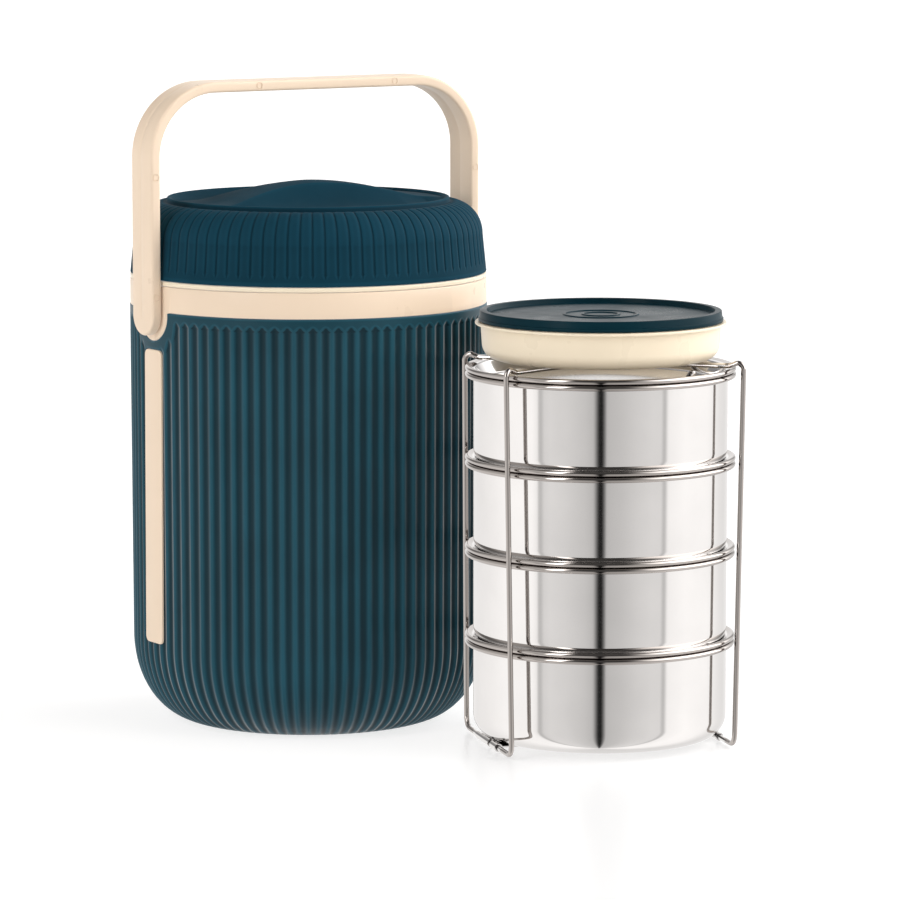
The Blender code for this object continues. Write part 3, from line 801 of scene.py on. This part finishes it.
def make_lid_foam(material):
    """The foam under the lid's cover, which rests on the inner plate's roof."""
    low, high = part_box("lid_foam")
    inner = SHOULDER_RADIUS - LID_WALL - FIT
    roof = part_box("lid_inner_plate")[1][2] + FIT
    corners = [(0.0, high[2]), (66.3 * MM, high[2], 0.5 * MM)]
    for angle in np.radians(np.arange(76, -1, -8)):
        corners.append((SHOULDER_CENTRE[0] + inner * math.cos(angle),
                        SHOULDER_CENTRE[1] + inner * math.sin(angle)))
    corners += [(high[1], low[2], 0.5 * MM), (68 * MM, low[2], 0.5 * MM), (65.2 * MM, roof), (0.0, roof)]
    return lathe("lid_foam_cast", corners, material)


def make_seal(material):
    """The silicone seal: a soft ring with two lips."""
    low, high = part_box("lid_seal")
    radius = radius_of("lid_seal")
    inner = radius - 3.3 * MM
    middle = (low[2] + high[2]) / 2
    corners = [(radius, high[2], 0.4 * MM), (radius, middle + 0.2 * MM, 0.3 * MM),
               (radius - 0.7 * MM, middle, 0.2 * MM), (radius, middle - 0.2 * MM, 0.3 * MM),
               (radius, low[2], 0.4 * MM), (inner, low[2], 0.4 * MM), (inner, high[2], 0.4 * MM)]
    return lathe("lid_seal_lipped", corners, material, ring=True)


# ---------------------------------------------------------------- handle

HANDLE_FACE = 2.75 * MM
HANDLE_BEND = 34.25 * MM
HANDLE_STEPS = 150
STUB_RADIUS = 4 * MM
GROOVE_RADIUS = 1.3 * MM
PIN_RADIUS = 1.75 * MM
PIN_GROOVE = 0.5 * MM
PIN_DEPTH = 0.35 * MM
handle_low, handle_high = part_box("handle")
arm_x = handle_high[0] - HANDLE_FACE
bridge_z = handle_high[2] - HANDLE_FACE
arm_length = bridge_z - HANDLE_BEND - pivot_z
arc_length = HANDLE_BEND * math.pi / 2
half_length = arm_length + arc_length + arm_x - HANDLE_BEND


def handle_point(distance, depth, out):
    """A point on the bent strap: along it from the left pivot, across it, and out from its middle."""
    mirrored = distance > half_length
    if mirrored:
        distance = 2 * half_length - distance
    if distance <= arm_length:
        x, z, normal = -arm_x, pivot_z + distance, (-1.0, 0.0)
    elif distance <= arm_length + arc_length:
        angle = (distance - arm_length) / HANDLE_BEND
        normal = (-math.cos(angle), math.sin(angle))
        x = -arm_x + HANDLE_BEND * (1 + normal[0])
        z = bridge_z - HANDLE_BEND * (1 - normal[1])
    else:
        x, z, normal = -arm_x + HANDLE_BEND + distance - arm_length - arc_length, bridge_z, (0.0, 1.0)
    x += normal[0] * out
    z += normal[1] * out
    return (-x if mirrored else x, depth, z)


def pin_marks():
    """Cutters for the shallow round marks that the mould's pins leave on the strap's two edges."""
    places = [(-arm_x, pivot_z + 68 * MM), (-arm_x, pivot_z + 9 * MM), (-34 * MM, bridge_z),
              (44.5 * MM, bridge_z), (arm_x, pivot_z + 66 * MM), (arm_x, pivot_z + 9 * MM)]
    inner = PIN_RADIUS - PIN_GROOVE
    cutters = []
    for place in places:
        for side in (-1, 1):
            rings = []
            for radius, depth in ((PIN_RADIUS, -MM), (PIN_RADIUS, PIN_DEPTH), (inner, PIN_DEPTH), (inner, -MM)):
                y = side * (handle_high[1] - depth)
                rings.append([(x, y, z) for x, z in disc(radius, place, 12)])
            cutters.append(skin("pin_mark", rings, bpy.data.materials[0], ring=True))
    return cutters


def make_handle(material):
    """The carry handle: a bent strap with round ends, a crease down its face and pin marks on its edges."""
    half = (handle_high[1] - handle_low[1]) / 2
    face = HANDLE_FACE
    section = [(half, face - 0.12 * MM), (half - 0.25 * MM, face - 0.02 * MM),
               (half * 0.7, face - 0.03 * MM), (half * 0.4, face - 0.12 * MM), (1.6 * MM, face - 0.25 * MM)]
    section += [(GROOVE_RADIUS * (1 - math.sin(a)), face - 1.6 * MM + GROOVE_RADIUS * math.cos(a))
                for a in np.radians(np.linspace(15, 90, 6))]
    section += [(GROOVE_RADIUS * (1 - math.cos(a)), GROOVE_RADIUS * (1 - math.sin(a)) - face)
                for a in np.radians(np.linspace(0, 90, 6))]
    section += [(half * 0.5, -face), (half - 0.25 * MM, -face), (half, -face + 0.08 * MM)]
    length = 2 * half_length
    along = [length * i / HANDLE_STEPS for i in range(HANDLE_STEPS + 1)]
    ends = np.radians(np.arange(5, 180, 5))
    track = [(distance, 0.0, -1.0) for distance in along]
    track += [(length, math.sin(a), -math.cos(a)) for a in ends]
    track += [(distance, 0.0, 1.0) for distance in reversed(along)]
    track += [(0.0, -math.sin(a), math.cos(a)) for a in ends]
    rows = []
    for inset, out in section:
        width = half - inset
        rows.append([handle_point(distance + width * forward, width * across, out)
                     for distance, forward, across in track])
    handle = skin("carry_handle", rows, material, sharp=60)
    stubs = []
    for side in (-1, 1):
        reach = sorted((side * 82.6 * MM, side * (handle_high[0] - 3 * MM)))
        stubs.append(prism("stub", disc(STUB_RADIUS, (0.0, pivot_z), 10), *reach, "X"))
    shaped(handle, *stubs, operation="UNION", sharp=50)
    return shaped(handle, *pin_marks(), sharp=50)


# ---------------------------------------------------------------- stack

PAN_WALL = 0.6 * MM
PAN_CORNER = 11 * MM
PAN_RADIUS = 62.2 * MM
BEAD_HEIGHT = 2.7 * MM
BEAD_ROLL = BEAD_HEIGHT / 2
RIM_RADIUS = 66.3 * MM
stack_centre = centre_of("pan_1")


def rolled(top):
    """The round outer side of a rolled rim, from its top to its bottom."""
    return [(RIM_RADIUS - BEAD_ROLL + BEAD_ROLL * math.sin(a), top - BEAD_ROLL + BEAD_ROLL * math.cos(a))
            for a in np.radians(np.linspace(10, 170, 9))]


def make_pan(number, material):
    """A pan drawn from sheet steel: soft floor corner, straight wall and a rolled rim."""
    low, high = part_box("pan_%d" % number)
    base, top = low[2], high[2]
    bead = top - BEAD_HEIGHT
    inside = PAN_RADIUS - PAN_WALL
    floor = base + PAN_WALL
    profile = rounded([(0.0, floor), (inside, floor, PAN_CORNER - PAN_WALL), (inside, top - 2.2 * MM)],
                      segments=12)
    profile += [(inside + 0.15 * MM, top - 1.2 * MM), (PAN_RADIUS - 0.1 * MM, top - 0.5 * MM),
                (PAN_RADIUS + 0.7 * MM, top - 0.1 * MM), (PAN_RADIUS + 1.5 * MM, top)]
    profile += rolled(top)
    profile += [(RIM_RADIUS - BEAD_ROLL, bead), (PAN_RADIUS + 1.2 * MM, bead + 0.1 * MM),
                (PAN_RADIUS + 0.3 * MM, bead + 0.5 * MM), (PAN_RADIUS, bead + 0.2 * MM)]
    profile += rounded([(PAN_RADIUS, bead - 2 * MM), (PAN_RADIUS, base, PAN_CORNER), (0.0, base)],
                       segments=12)
    rows = [circle(radius, height, ROUND_STEPS, stack_centre) for radius, height in profile]
    return skin("pan_%d_drawn" % number, rows, material)


def make_pan_lid(number, material):
    """A pan's lid: a rolled rim round a recess that the next pan stands in."""
    low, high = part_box("pan_lid_%d" % number)
    base, top = low[2], high[2]
    panel = base + PAN_WALL
    bead = top - BEAD_HEIGHT
    profile = rounded([(0.0, panel), (57.8 * MM, panel, 1.5 * MM), (61.4 * MM, top - 1.2 * MM, 1.5 * MM),
                       (RIM_RADIUS - BEAD_ROLL, top)], segments=5)
    profile += rolled(top)
    profile += rounded([(RIM_RADIUS - BEAD_ROLL, bead), (62.4 * MM, bead + 0.2 * MM, 1.0 * MM),
                        (58.2 * MM, base, 1.5 * MM), (0.0, base)], segments=5)
    rows = [circle(radius, height, ROUND_STEPS, stack_centre) for radius, height in profile]
    return skin("pan_lid_%d_rolled" % number, rows, material)


# ---------------------------------------------------------------- wire cage

WIRE_RADIUS = 1.3 * MM
CHORD_HALF = 41.5 * MM
UPRIGHT_TOP_HALF = 37.8 * MM
LOOP_LEAN = {"left": 2.0 * MM, "right": 4.5 * MM}
LOOP_TIP = 9.0 * MM
STRAP_HALF_WIDTH = 18 * MM
STRAP_THICKNESS = 0.65 * MM
STRAP_TOP = 2.9 * MM
KNUCKLE_RADIUS = 2.05 * MM


def smooth_path(points, radius, segments=6):
    """A closed path through points with each corner rounded by at most a radius."""
    path = []
    count = len(points)
    for i in range(count):
        corner = Vector(points[i])
        back = Vector(points[i - 1]) - corner
        ahead = Vector(points[(i + 1) % count]) - corner
        reach = min(radius, back.length * 0.45, ahead.length * 0.45)
        start = corner + back.normalized() * reach
        end = corner + ahead.normalized() * reach
        for step in range(segments + 1):
            t = step / segments
            path.append(start * (1 - t) ** 2 + corner * (2 * t * (1 - t)) + end * t ** 2)
    return path


def swept(name, path, radius, material, sides=14):
    """A round wire along a closed path."""
    count = len(path)
    rows = []
    normal = Vector((0.0, 0.0, 1.0))
    for i in range(count):
        tangent = (path[(i + 1) % count] - path[i - 1]).normalized()
        normal = (normal - tangent * normal.dot(tangent)).normalized()
        side = tangent.cross(normal)
        rows.append([path[i] + (normal * math.cos(a) + side * math.sin(a)) * radius
                     for a in np.arange(sides) * 2 * math.pi / sides])
    start = rows[0]
    shift = min(range(sides), key=lambda k: (Vector(rows[-1][k]) - Vector(start[0])).length)
    rows.append(rows[-1][shift:] + rows[-1][:shift])
    del rows[-2]
    return skin(name, rows, material, ring=True)


def cage_frame(label):
    """The loop's own frame: the stack's axis, with X towards the loop's hinge."""
    joint = joint_named("cage_%s_swing" % label)
    out = Vector((joint["pos_m"][0] - stack_centre[0], joint["pos_m"][1] - stack_centre[1], 0.0))
    turn = Matrix.Rotation(math.atan2(out.y, out.x), 4, "Z")
    return Matrix.Translation((*stack_centre, 0.0)) @ turn, out.length, joint["pos_m"][2]


def make_loop(label, material):
    """One wire loop: its chord on the floor, two uprights, and arms that hook over the top lid."""
    matrix, distance, chord_z = cage_frame(label)
    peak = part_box("cage_loop_%s" % label)[1][2] - WIRE_RADIUS
    level = peak - 1.2 * MM
    top_x = distance + LOOP_LEAN[label]
    direction = math.atan2(UPRIGHT_TOP_HALF, top_x)
    reach = math.hypot(UPRIGHT_TOP_HALF, top_x)
    side = [(distance, CHORD_HALF, chord_z)]
    for inward, height in ((0.0, peak - 1.5 * MM), (2.6 * MM, peak + 0.6 * MM), (6.2 * MM, level)):
        radius = reach - inward
        side.append((radius * math.cos(direction), radius * math.sin(direction), height))
    side.append((LOOP_TIP * math.cos(direction), LOOP_TIP * math.sin(direction), level))
    other = [(x, -y, z) for x, y, z in reversed(side)]
    path = smooth_path(side + other, 7.0 * MM, segments=9)
    loop = swept("cage_loop_%s_wire" % label, path, WIRE_RADIUS, material)
    return placed(loop, matrix)


def make_strap(material):
    """The base strap, whose ends are rolled into knuckles round the loops' chords."""
    matrix, distance, chord_z = cage_frame("right")
    bottom = STRAP_TOP - STRAP_THICKNESS
    outline = [(distance, bottom), (distance, STRAP_TOP), (-distance, STRAP_TOP), (-distance, bottom)]
    plate = prism("cage_strap_rolled", outline, -STRAP_HALF_WIDTH, STRAP_HALF_WIDTH, "Y", material)
    knuckles = []
    bores = []
    for side in (-1, 1):
        middle = side * distance
        roll = disc(KNUCKLE_RADIUS, (middle, chord_z), 15)
        knuckles.append(prism("knuckle", roll, -STRAP_HALF_WIDTH, STRAP_HALF_WIDTH, "Y"))
        bore = disc(WIRE_RADIUS + 0.15 * MM, (middle, chord_z), 15)
        bores.append(prism("bore", bore, -30 * MM, 30 * MM, "Y"))
        gap = sorted((side * 4.5 * MM, side * 8.0 * MM))
        left, right = middle - 3 * MM, middle + 3 * MM
        slot = [(left, -1 * MM), (right, -1 * MM), (right, 6 * MM), (left, 6 * MM)]
        bores.append(prism("knuckle_gap", slot, *gap, "Y"))
    shaped(plate, *knuckles, operation="UNION")
    shaped(plate, *bores)
    return placed(plate, matrix)


# ---------------------------------------------------------------- box on top

def make_box(material):
    """The plastic box that stands on the stack: a shallow bowl with a thin flange."""
    low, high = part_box("top_box")
    base, rim = low[2], high[2]
    floor = base + 1.1 * MM
    edge = radius_of("top_box")
    flange = rim - 3.0 * MM
    under = flange - 1.4 * MM
    corners = [(0.0, floor), (57 * MM, floor, 6 * MM), (57.4 * MM, rim, 0.4 * MM), (58.4 * MM, rim, 0.4 * MM),
               (58.4 * MM, flange), (edge, flange, 0.5 * MM), (edge, under, 0.5 * MM),
               (58.7 * MM, under, 0.4 * MM), (57.6 * MM, base, 7.5 * MM), (0.0, base)]
    return lathe("top_box_bowl", corners, material, stack_centre, segments=8)


def make_box_lid(material):
    """The box's press-on lid: a raised rim round a sunk panel with two rings, and a stepped skirt."""
    low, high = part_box("top_box_lid")
    radius = radius_of("top_box_lid")
    bottom, top = low[2], high[2]
    panel = top - 2.4 * MM
    crest = panel + 0.5 * MM
    under = panel - 1.2 * MM
    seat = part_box("top_box")[1][2] + FIT
    corners = [(0.0, panel)]
    for ring in (8 * MM, 17 * MM):
        corners += [(ring, panel, 0.2 * MM), (ring + 0.4 * MM, crest, 0.2 * MM),
                    (ring + 1.4 * MM, crest, 0.2 * MM), (ring + 1.8 * MM, panel, 0.2 * MM)]
    corners += [(55.2 * MM, panel, 0.5 * MM), (55.8 * MM, top, 0.3 * MM), (radius - 0.8 * MM, top, 0.5 * MM),
                (radius - 0.5 * MM, bottom + 1.9 * MM, 0.2 * MM), (radius, bottom + 1.6 * MM, 0.2 * MM),
                (radius, bottom, 0.3 * MM), (58.8 * MM, bottom), (58.8 * MM, seat), (56.6 * MM, seat),
                (56 * MM, under), (0.0, under)]
    return lathe("top_box_lid_fine", corners, material, stack_centre, segments=5)


# ---------------------------------------------------------------- studio

# Brightness of the studio's walls by direction (degrees from +X): near the floor, and higher up.
WALL_PEAK = 1.6
WALL_BANDS = [(0, 1.24), (14, 1.08), (26, 0.98), (62, 0.96), (84, 1.05), (110, 1.18), (140, 1.34),
              (172, 1.34), (177, 1.20), (179, 0.68), (181, 0.70), (184, 0.93), (190, 0.98), (204, 0.92),
              (222, 0.80), (230, 0.70), (233, 0.20), (235, 0.02), (238, 0.02), (240, 0.24), (242, 0.70),
              (256, 0.78), (270, 0.90), (284, 0.98), (293, 0.98), (295, 0.72), (297, 0.74), (300, 1.28),
              (320, 1.38), (350, 1.34), (360, 1.24)]
UPPER_PEAK = 10.0
UPPER_BANDS = [(0, 4.0), (24, 1.4), (40, 0.4), (50, 1.1), (70, 1.1), (84, 0.3), (100, 0.3), (120, 0.9),
               (188, 0.9), (191, 6.5), (202, 6.5), (206, 0.2), (222, 0.10), (262, 0.10), (275, 0.8),
               (290, 3.0), (320, 4.4), (360, 4.0)]
CEILING = (0.12, 0.12, 0.12)
STUDIO_TINT = (1.0, 0.985, 0.975)
# Upward parts of a direction over which the walls give way to the upper walls, and those to the ceiling.
UPPER_SPAN = (-0.02, 0.08)
CEILING_SPAN = (0.72, 0.92)
FLOOR_RADIUS = 60.0
FLOOR_GREY = (0.46, 0.46, 0.46)
FLOOR_GLOW = 0.52
CAMERA_PLACE = (-1.2617, -2.1287, 0.4596)
CAMERA_TILT = 82.52
CAMERA_TURN = -32.3
CAMERA_LENS = 197.8


def floor_material():
    """A pale studio table with a faint gloss."""
    material, *_, shader = new_material("studio_floor", FLOOR_GREY, 0.30)
    shader.inputs["Specular IOR Level"].default_value = 0.3
    shader.inputs["Emission Color"].default_value = (1.0, 1.0, 1.0, 1.0)
    shader.inputs["Emission Strength"].default_value = FLOOR_GLOW
    return material


def ramp(tree, source, bands, peak):
    """A warm grey that changes along a value, from bands of (degrees, brightness)."""
    node = add_node(tree, "ShaderNodeValToRGB", {"Fac": source})
    elements = node.color_ramp.elements
    while len(elements) > 1:
        elements.remove(elements[-1])
    for number, (degrees, brightness) in enumerate(bands):
        element = elements[0] if number == 0 else elements.new(degrees / 360)
        element.position = degrees / 360
        element.color = (*[brightness / peak * tint for tint in STUDIO_TINT], 1.0)
    return vector_math(tree, "SCALE", {0: node.outputs["Color"], "Scale": peak})


def blend(tree, value, span, first, second):
    """A soft change from one colour to another over a value's span."""
    return mixed(tree, ranged(tree, value, span, 0.0, 1.0, "SMOOTHSTEP"), first, second)


def make_studio():
    """Floor, soft studio surround and the camera."""
    floor = skin("floor", [circle(FLOOR_RADIUS, 0.0, 64), circle(0.0, 0.0, 1)], floor_material())
    floor.visible_glossy = False

    world = bpy.data.worlds.new("studio")
    bpy.context.scene.world = world
    world.use_nodes = True
    tree = world.node_tree
    tree.nodes.clear()
    place = add_node(tree, "ShaderNodeTexCoord").outputs["Generated"]
    split = add_node(tree, "ShaderNodeSeparateXYZ", {"Vector": place}).outputs
    around = add_node(tree, "ShaderNodeMath", {0: split["Y"], 1: split["X"]}, operation="ARCTAN2")
    turn = add_node(tree, "ShaderNodeMath", {0: around.outputs["Value"], 1: 1 / (2 * math.pi), 2: 1.0},
                    operation="MULTIPLY_ADD")
    wrap = add_node(tree, "ShaderNodeMath", {0: turn.outputs["Value"]}, operation="FRACT").outputs["Value"]
    wall = ramp(tree, wrap, WALL_BANDS, WALL_PEAK)
    above = ramp(tree, wrap, UPPER_BANDS, UPPER_PEAK)
    raised = blend(tree, split["Z"], UPPER_SPAN, wall, above)
    overhead = blend(tree, split["Z"], CEILING_SPAN, raised, CEILING)
    background = add_node(tree, "ShaderNodeBackground", {"Color": overhead}).outputs["Background"]
    add_node(tree, "ShaderNodeOutputWorld", {"Surface": background})

    camera = bpy.data.objects.new("camera", bpy.data.cameras.new("camera"))
    bpy.context.scene.collection.objects.link(camera)
    camera.location = CAMERA_PLACE
    camera.rotation_euler = (math.radians(CAMERA_TILT), 0.0, math.radians(CAMERA_TURN))
    camera.data.lens = CAMERA_LENS
    camera.data.sensor_width = 36.0
    camera.data.clip_start = 0.05
    camera.data.clip_end = 200.0
    bpy.context.scene.camera = camera
    bpy.context.scene.view_settings.view_transform = "Standard"


# ---------------------------------------------------------------- assembly

def make_all():
    """Every visible piece, tied to its body."""
    # hollows sets how dark the painted shade in the rib grooves of the casing and lid is.
    teal = moulded("teal_plastic_fine", (0.0120, 0.067, 0.096), 0.33, gloss=0.13, hollows=0.36)
    teal_dark = moulded("dark_teal_plastic_fine", (0.0062, 0.041, 0.066), 0.66, gloss=0.03, hollows=0.6)
    teal_panel = moulded("box_lid_plastic_fine", (0.0030, 0.0215, 0.031), 0.30, gloss=0.04)
    cream = moulded("cream_plastic_fine", (0.78, 0.625, 0.475), 0.32, grain=0.15, variation=0.02, gloss=0.35)
    cream_light = moulded("light_cream_plastic_fine", (0.82, 0.71, 0.54), 0.30, grain=0.15, variation=0.02,
                          gloss=0.4)
    silicone = moulded("silicone_fine", (0.72, 0.72, 0.70), 0.45)
    brushed = steel("brushed_steel_fine", (0.72, 0.71, 0.70), 0.22, 0.12, 0.5)
    # The polished steel's rolled rims and the wires beyond the pan wall get a darker brownish colour: a painted
    # dark reflection.
    polished = steel("polished_steel_fine", (0.72, 0.705, 0.695), 0.045, 0.03, 0.15,
                     rims=(stack_centre, PAN_RADIUS + 0.3 * MM, (0.40, 0.37, 0.35)))
    foam_yellow = foam("insulating_foam_fine", (0.85, 0.78, 0.55))

    stands_for(make_shell(teal), "casing", "teal_plastic", "outer_shell")
    stands_for(make_base_cover(teal), "casing", "teal_plastic", "base_cover")
    stands_for(make_liner(brushed), "casing", "brushed_steel", "inner_liner")
    stands_for(make_collar(cream), "casing", "cream_plastic", "collar")
    for label, side in (("left", -1), ("right", 1)):
        strip = make_strip("side_strip_%s_soft" % label, side, cream)
        stands_for(strip, "casing", "cream_plastic", "side_strip_" + label)
    stands_for(make_casing_foam(foam_yellow), "casing", "insulating_foam", "casing_foam")

    stands_for(make_lid_cover(teal_dark), "lid", "dark_teal_plastic", "lid_cover")
    stands_for(make_lid_foam(foam_yellow), "lid", "insulating_foam", "lid_foam")
    stands_for(make_lid_plate(cream_light), "lid", "light_cream_plastic", "lid_inner_plate")
    stands_for(make_seal(silicone), "lid", "silicone_seal", "lid_seal")
    stands_for(make_handle(cream), "handle", "cream_plastic", "handle")

    for number in range(1, 5):
        stands_for(make_pan(number, polished), "stack", "polished_steel", "pan_%d" % number)
        stands_for(make_pan_lid(number, polished), "stack", "polished_steel", "pan_lid_%d" % number)
    stands_for(make_strap(polished), "stack", "polished_steel", "cage_base_strap")
    for label in ("left", "right"):
        stands_for(make_loop(label, polished), "cage_" + label, "polished_steel", "cage_loop_" + label)
    stands_for(make_box(cream_light), "top_box", "light_cream_plastic", "top_box")
    stands_for(make_box_lid(teal_panel), "top_box_lid", "dark_teal_plastic", "top_box_lid")


make_all()
make_studio()
